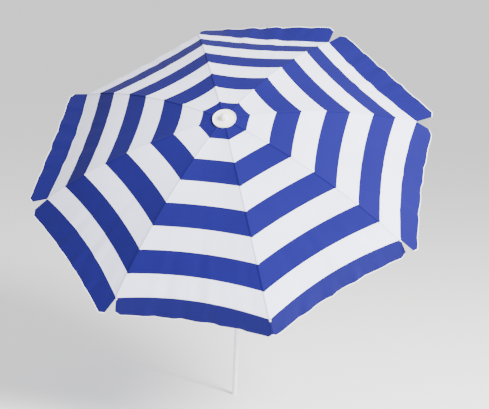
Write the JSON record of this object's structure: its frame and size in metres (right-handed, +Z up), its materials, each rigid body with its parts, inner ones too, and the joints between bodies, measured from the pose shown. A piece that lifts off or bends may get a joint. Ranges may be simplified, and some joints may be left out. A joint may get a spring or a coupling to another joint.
{
  "type": "beach umbrella",
  "caption": "Beach umbrella with a round ribbed canopy in blue and white bands, a hanging valance, a tilt joint and a two-part pole with a ground spike.",
  "frame": {"origin": "on the lower pole's axis at an assumed sand line, put where the pole ends in the picture", "axes": "+Z up along the lower pole; the open canopy leans 45 degrees towards -Y; +X is the tilt pin's axis"},
  "size_m": [1.802, 1.264, 2.2283],
  "materials": {
    "pole_paint": "white gloss powder coat on a steel tube",
    "rib_paint": "white paint on steel rod",
    "zinc_steel": "bright zinc plate",
    "white_plastic": "moulded, satin",
    "finial_plastic": "moulded, half gloss",
    "knob_plastic": "moulded blue, satin",
    "canopy_fabric": "woven polyester in equal blue and white bands, blue at the middle and the valance"
  },
  "bodies": {
    "base": {"lower_pole": "pole_paint", "sand_spike": "white_plastic", "height_collar": "white_plastic"},
    "hand_knob": {"height_knob": "knob_plastic"},
    "mid": {"mid_pole": "pole_paint", "tilt_fork": "white_plastic", "tilt_pin": "zinc_steel"},
    "upper": {"upper_pole": "pole_paint", "tilt_tongue": "white_plastic", "hub": "white_plastic", "hub_ring": "zinc_steel", "finial_flange": "finial_plastic", "finial_knob": "finial_plastic"},
    "tilt_button": {"tilt_button": "knob_plastic"},
    "runner_catch": {"runner_catch": "zinc_steel"},
    "rib_1": {"rib_1": "rib_paint", "rib_clamp_1": "zinc_steel"},
    "rib_2": {"rib_2": "rib_paint", "rib_clamp_2": "zinc_steel"},
    "rib_3": {"rib_3": "rib_paint", "rib_clamp_3": "zinc_steel"},
    "rib_4": {"rib_4": "rib_paint", "rib_clamp_4": "zinc_steel"},
    "rib_5": {"rib_5": "rib_paint", "rib_clamp_5": "zinc_steel"},
    "rib_6": {"rib_6": "rib_paint", "rib_clamp_6": "zinc_steel"},
    "rib_7": {"rib_7": "rib_paint", "rib_clamp_7": "zinc_steel"},
    "rib_8": {"rib_8": "rib_paint", "rib_clamp_8": "zinc_steel"},
    "stretcher_1": {"stretcher_1": "rib_paint"},
    "stretcher_2": {"stretcher_2": "rib_paint"},
    "stretcher_3": {"stretcher_3": "rib_paint"},
    "stretcher_4": {"stretcher_4": "rib_paint"},
    "stretcher_5": {"stretcher_5": "rib_paint"},
    "stretcher_6": {"stretcher_6": "rib_paint"},
    "stretcher_7": {"stretcher_7": "rib_paint"},
    "stretcher_8": {"stretcher_8": "rib_paint"},
    "runner": {"runner": "white_plastic", "runner_ring": "zinc_steel"},
    "gore_1a": {"gore_1a": "canopy_fabric"},
    "gore_1b": {"gore_1b": "canopy_fabric"},
    "gore_2a": {"gore_2a": "canopy_fabric"},
    "gore_2b": {"gore_2b": "canopy_fabric"},
    "gore_3a": {"gore_3a": "canopy_fabric"},
    "gore_3b": {"gore_3b": "canopy_fabric"},
    "gore_4a": {"gore_4a": "canopy_fabric"},
    "gore_4b": {"gore_4b": "canopy_fabric"},
    "gore_5a": {"gore_5a": "canopy_fabric"},
    "gore_5b": {"gore_5b": "canopy_fabric"},
    "gore_6a": {"gore_6a": "canopy_fabric"},
    "gore_6b": {"gore_6b": "canopy_fabric"},
    "gore_7a": {"gore_7a": "canopy_fabric"},
    "gore_7b": {"gore_7b": "canopy_fabric"},
    "gore_8a": {"gore_8a": "canopy_fabric"},
    "gore_8b": {"gore_8b": "canopy_fabric"}
  },
  "joints": [
    {"name": "height", "type": "slide", "parent": "base", "child": "mid", "axis": [0, 0, 1], "range_m": [-0.15, 0.2]},
    {"name": "clamp_screw", "type": "hinge", "parent": "base", "child": "hand_knob", "pos_m": [0.03, 0, 0.578], "axis": [1, 0, 0], "range_deg": [0, 270]},
    {"name": "tilt", "type": "hinge", "parent": "mid", "child": "upper", "pos_m": [0, 0, 0.855], "axis": [-1, 0, 0], "range_deg": [0, 45]},
    {"name": "tilt_button_press", "type": "slide", "parent": "upper", "child": "tilt_button", "axis": [0, -0.7071, -0.7071], "range_m": [0, 0.0025], "stiffness_N_per_m": 400},
    {"name": "catch_press", "type": "slide", "parent": "upper", "child": "runner_catch", "axis": [0, -0.7071, -0.7071], "range_m": [0, 0.0036], "stiffness_N_per_m": 300, "deforming": ["runner_catch"]},
    {"name": "canopy_fold", "type": "hinge", "parent": "upper", "child": "rib_1", "pos_m": [-0.00793, -0.59917, 1.4862], "axis": [-0.9438, -0.2337, -0.2337], "range_deg": [0, 68]},
    {"name": "rib_2_fold", "type": "hinge", "parent": "upper", "child": "rib_2", "pos_m": [0.01041, -0.59989, 1.48548], "axis": [-0.9011, 0.3066, 0.3066], "range_deg": [0, 68]},
    {"name": "rib_3_fold", "type": "hinge", "parent": "upper", "child": "rib_3", "pos_m": [0.02265, -0.60957, 1.47579], "axis": [-0.3305, 0.6674, 0.6674], "range_deg": [0, 68]},
    {"name": "rib_4_fold", "type": "hinge", "parent": "upper", "child": "rib_4", "pos_m": [0.02163, -0.62254, 1.46282], "axis": [0.4337, 0.6372, 0.6372], "range_deg": [0, 68]},
    {"name": "rib_5_fold", "type": "hinge", "parent": "upper", "child": "rib_5", "pos_m": [0.00793, -0.6312, 1.45417], "axis": [0.9438, 0.2337, 0.2337], "range_deg": [0, 68]},
    {"name": "rib_6_fold", "type": "hinge", "parent": "upper", "child": "rib_6", "pos_m": [-0.01041, -0.63048, 1.45489], "axis": [0.9011, -0.3066, -0.3066], "range_deg": [0, 68]},
    {"name": "rib_7_fold", "type": "hinge", "parent": "upper", "child": "rib_7", "pos_m": [-0.02265, -0.62079, 1.46457], "axis": [0.3305, -0.6674, -0.6674], "range_deg": [0, 68]},
    {"name": "rib_8_fold", "type": "hinge", "parent": "upper", "child": "rib_8", "pos_m": [-0.02163, -0.60782, 1.47754], "axis": [-0.4337, -0.6372, -0.6372], "range_deg": [0, 68]},
    {"name": "stretcher_1_swing", "type": "hinge", "parent": "rib_1", "child": "stretcher_1", "pos_m": [-0.13284, -0.28467, 1.67611], "axis": [-0.9438, -0.2337, -0.2337], "range_deg": [-136, 0]},
    {"name": "stretcher_2_swing", "type": "hinge", "parent": "rib_2", "child": "stretcher_2", "pos_m": [0.17429, -0.29681, 1.66397], "axis": [-0.9011, 0.3066, 0.3066], "range_deg": [-136, 0]},
    {"name": "stretcher_3_swing", "type": "hinge", "parent": "rib_3", "child": "stretcher_3", "pos_m": [0.37932, -0.45896, 1.50182], "axis": [-0.3305, 0.6674, 0.6674], "range_deg": [-136, 0]},
    {"name": "stretcher_4_swing", "type": "hinge", "parent": "rib_4", "child": "stretcher_4", "pos_m": [0.36215, -0.67613, 1.28464], "axis": [0.4337, 0.6372, 0.6372], "range_deg": [-136, 0]},
    {"name": "stretcher_5_swing", "type": "hinge", "parent": "rib_5", "child": "stretcher_5", "pos_m": [0.13284, -0.82111, 1.13967], "axis": [0.9438, 0.2337, 0.2337], "range_deg": [-136, 0]},
    {"name": "stretcher_6_swing", "type": "hinge", "parent": "rib_6", "child": "stretcher_6", "pos_m": [-0.17429, -0.80897, 1.15181], "axis": [0.9011, -0.3066, -0.3066], "range_deg": [-136, 0]},
    {"name": "stretcher_7_swing", "type": "hinge", "parent": "rib_7", "child": "stretcher_7", "pos_m": [-0.37932, -0.64682, 1.31396], "axis": [0.3305, -0.6674, -0.6674], "range_deg": [-136, 0]},
    {"name": "stretcher_8_swing", "type": "hinge", "parent": "rib_8", "child": "stretcher_8", "pos_m": [-0.36215, -0.42964, 1.53113], "axis": [-0.4337, -0.6372, -0.6372], "range_deg": [-136, 0]},
    {"name": "runner_slide", "type": "hinge", "parent": "stretcher_1", "child": "runner", "pos_m": [-0.00793, -0.47457, 1.36161], "axis": [-0.9438, -0.2337, -0.2337], "range_deg": [0, 68]},
    {"name": "gore_1a_pleat", "type": "hinge", "parent": "rib_1", "child": "gore_1a", "pos_m": [-0.15181, -0.23496, 1.70304], "axis": [0.3125, -0.8612, -0.4008], "range_deg": [0, 73.2], "deforming": ["gore_1a"]},
    {"name": "gore_1b_pleat", "type": "hinge", "parent": "rib_2", "child": "gore_1b", "pos_m": [0.19919, -0.24884, 1.68916], "axis": [0.41, 0.8327, 0.3722], "range_deg": [0, 73.2], "deforming": ["gore_1b"]},
    {"name": "gore_2a_pleat", "type": "hinge", "parent": "rib_2", "child": "gore_2a", "pos_m": [0.19919, -0.24884, 1.68916], "axis": [-0.41, -0.8327, -0.3722], "range_deg": [0, 73.2], "deforming": ["gore_2a"]},
    {"name": "gore_2b_pleat", "type": "hinge", "parent": "rib_3", "child": "gore_2b", "pos_m": [0.43351, -0.43415, 1.50385], "axis": [0.8924, 0.4512, -0.0092], "range_deg": [0, 73.2], "deforming": ["gore_2b"]},
    {"name": "gore_3a_pleat", "type": "hinge", "parent": "rib_3", "child": "gore_3a", "pos_m": [0.43351, -0.43415, 1.50385], "axis": [-0.8924, -0.4512, 0.0092], "range_deg": [0, 73.2], "deforming": ["gore_3a"]},
    {"name": "gore_3b_pleat", "type": "hinge", "parent": "rib_4", "child": "gore_3b", "pos_m": [0.41389, -0.68235, 1.25565], "axis": [0.852, -0.0597, -0.5201], "range_deg": [0, 73.2], "deforming": ["gore_3b"]},
    {"name": "gore_4a_pleat", "type": "hinge", "parent": "rib_4", "child": "gore_4a", "pos_m": [0.41389, -0.68235, 1.25565], "axis": [-0.852, 0.0597, 0.5201], "range_deg": [0, 73.2], "deforming": ["gore_4a"]},
    {"name": "gore_4b_pleat", "type": "hinge", "parent": "rib_5", "child": "gore_4b", "pos_m": [0.15181, -0.84804, 1.08996], "axis": [0.3125, -0.4008, -0.8612], "range_deg": [0, 73.2], "deforming": ["gore_4b"]},
    {"name": "gore_5a_pleat", "type": "hinge", "parent": "rib_5", "child": "gore_5a", "pos_m": [0.15181, -0.84804, 1.08996], "axis": [-0.3125, 0.4008, 0.8612], "range_deg": [0, 73.2], "deforming": ["gore_5a"]},
    {"name": "gore_5b_pleat", "type": "hinge", "parent": "rib_6", "child": "gore_5b", "pos_m": [-0.19919, -0.83416, 1.10384], "axis": [-0.41, -0.3722, -0.8327], "range_deg": [0, 73.2], "deforming": ["gore_5b"]},
    {"name": "gore_6a_pleat", "type": "hinge", "parent": "rib_6", "child": "gore_6a", "pos_m": [-0.19919, -0.83416, 1.10384], "axis": [0.41, 0.3722, 0.8327], "range_deg": [0, 73.2], "deforming": ["gore_6a"]},
    {"name": "gore_6b_pleat", "type": "hinge", "parent": "rib_7", "child": "gore_6b", "pos_m": [-0.43351, -0.64885, 1.28915], "axis": [-0.8924, 0.0092, -0.4512], "range_deg": [0, 73.2], "deforming": ["gore_6b"]},
    {"name": "gore_7a_pleat", "type": "hinge", "parent": "rib_7", "child": "gore_7a", "pos_m": [-0.43351, -0.64885, 1.28915], "axis": [0.8924, -0.0092, 0.4512], "range_deg": [0, 73.2], "deforming": ["gore_7a"]},
    {"name": "gore_7b_pleat", "type": "hinge", "parent": "rib_8", "child": "gore_7b", "pos_m": [-0.41389, -0.40065, 1.53735], "axis": [-0.852, 0.5201, 0.0597], "range_deg": [0, 73.2], "deforming": ["gore_7b"]},
    {"name": "gore_8a_pleat", "type": "hinge", "parent": "rib_8", "child": "gore_8a", "pos_m": [-0.41389, -0.40065, 1.53735], "axis": [0.852, -0.5201, -0.0597], "range_deg": [0, 73.2], "deforming": ["gore_8a"]},
    {"name": "gore_8b_pleat", "type": "hinge", "parent": "rib_1", "child": "gore_8b", "pos_m": [-0.15181, -0.23496, 1.70304], "axis": [-0.3125, 0.8612, 0.4008], "range_deg": [0, 73.2], "deforming": ["gore_8b"]}
  ],
  "couplings": [
    {"joint": "rib_2_fold", "follows": "canopy_fold", "ratio": 1},
    {"joint": "rib_3_fold", "follows": "canopy_fold", "ratio": 1},
    {"joint": "rib_4_fold", "follows": "canopy_fold", "ratio": 1},
    {"joint": "rib_5_fold", "follows": "canopy_fold", "ratio": 1},
    {"joint": "rib_6_fold", "follows": "canopy_fold", "ratio": 1},
    {"joint": "rib_7_fold", "follows": "canopy_fold", "ratio": 1},
    {"joint": "rib_8_fold", "follows": "canopy_fold", "ratio": 1},
    {"joint": "stretcher_1_swing", "follows": "canopy_fold", "ratio": -2},
    {"joint": "stretcher_2_swing", "follows": "canopy_fold", "ratio": -2},
    {"joint": "stretcher_3_swing", "follows": "canopy_fold", "ratio": -2},
    {"joint": "stretcher_4_swing", "follows": "canopy_fold", "ratio": -2},
    {"joint": "stretcher_5_swing", "follows": "canopy_fold", "ratio": -2},
    {"joint": "stretcher_6_swing", "follows": "canopy_fold", "ratio": -2},
    {"joint": "stretcher_7_swing", "follows": "canopy_fold", "ratio": -2},
    {"joint": "stretcher_8_swing", "follows": "canopy_fold", "ratio": -2},
    {"joint": "runner_slide", "follows": "canopy_fold", "ratio": 1},
    {"joint": "gore_1a_pleat", "follows": "canopy_fold", "ratio": 1.075},
    {"joint": "gore_1b_pleat", "follows": "canopy_fold", "ratio": 1.075},
    {"joint": "gore_2a_pleat", "follows": "canopy_fold", "ratio": 1.075},
    {"joint": "gore_2b_pleat", "follows": "canopy_fold", "ratio": 1.075},
    {"joint": "gore_3a_pleat", "follows": "canopy_fold", "ratio": 1.075},
    {"joint": "gore_3b_pleat", "follows": "canopy_fold", "ratio": 1.075},
    {"joint": "gore_4a_pleat", "follows": "canopy_fold", "ratio": 1.075},
    {"joint": "gore_4b_pleat", "follows": "canopy_fold", "ratio": 1.075},
    {"joint": "gore_5a_pleat", "follows": "canopy_fold", "ratio": 1.075},
    {"joint": "gore_5b_pleat", "follows": "canopy_fold", "ratio": 1.075},
    {"joint": "gore_6a_pleat", "follows": "canopy_fold", "ratio": 1.075},
    {"joint": "gore_6b_pleat", "follows": "canopy_fold", "ratio": 1.075},
    {"joint": "gore_7a_pleat", "follows": "canopy_fold", "ratio": 1.075},
    {"joint": "gore_7b_pleat", "follows": "canopy_fold", "ratio": 1.075},
    {"joint": "gore_8a_pleat", "follows": "canopy_fold", "ratio": 1.075},
    {"joint": "gore_8b_pleat", "follows": "canopy_fold", "ratio": 1.075}
  ]
}
